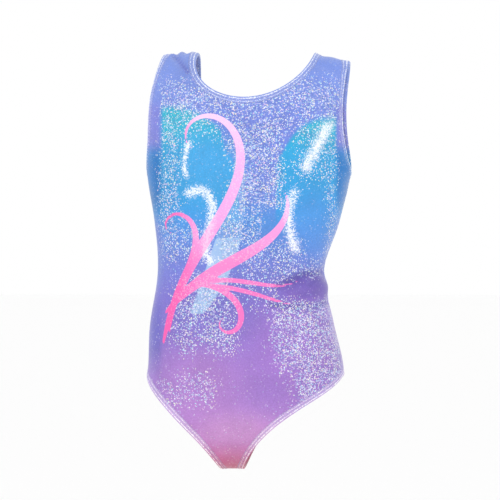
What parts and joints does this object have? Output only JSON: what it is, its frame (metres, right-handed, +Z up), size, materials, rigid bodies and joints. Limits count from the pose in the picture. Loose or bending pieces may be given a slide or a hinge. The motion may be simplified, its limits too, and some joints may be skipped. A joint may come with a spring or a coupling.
{
  "type": "gymnastics leotard",
  "caption": "Child's sleeveless gymnastics leotard with scoop neck, wide straps, elasticated hems, scrolled print and part lining, standing open as worn.",
  "frame": {"origin": "midway between the two shoulder seams, on the line where the wearer's shoulders carry it", "axes": "+Z up the body, front faces -Y, the wearer's left is +X"},
  "size_m": [0.2098, 0.1402, 0.4288],
  "materials": {
    "printed_cloth": "satin stretch knit with fine foil dots, printed blue to lilac",
    "lining_cloth": "matt pale tricot lining",
    "elastic": "matt swimwear elastic",
    "thread": "soft lustre overlock and coverstitch thread",
    "label_tape": "blank white satin label tape"
  },
  "bodies": {
    "garment": {"armhole_coverstitch_left": "thread", "armhole_coverstitch_right": "thread", "armhole_elastic_left": "elastic", "armhole_elastic_right": "elastic", "armhole_hem_left": "printed_cloth", "armhole_hem_right": "printed_cloth", "back_panel": "printed_cloth", "front_lining": "lining_cloth", "front_panel": "printed_cloth", "gusset_lining": "lining_cloth", "leg_coverstitch_left": "thread", "leg_coverstitch_right": "thread", "leg_elastic_left": "elastic", "leg_elastic_right": "elastic", "leg_hem_left": "printed_cloth", "leg_hem_right": "printed_cloth", "neck_coverstitch": "thread", "neck_elastic": "elastic", "neck_hem": "printed_cloth", "shoulder_seam_left": "thread", "shoulder_seam_right": "thread", "side_seam_left": "thread", "side_seam_right": "thread"},
    "size_label": {"size_label": "label_tape"},
    "care_label": {"care_label": "label_tape"}
  },
  "joints": [
    {"name": "size_label_turn", "type": "hinge", "parent": "garment", "child": "size_label", "pos_m": [-0.00012, 0.0587, -0.10161], "axis": [-1, 0, 0], "range_deg": [0, 150]},
    {"name": "care_label_turn", "type": "hinge", "parent": "garment", "child": "care_label", "pos_m": [0.09012, 0.00378, -0.30886], "axis": [-0.2377, -0.0098, 0.9713], "range_deg": [-8, 95]}
  ]
}
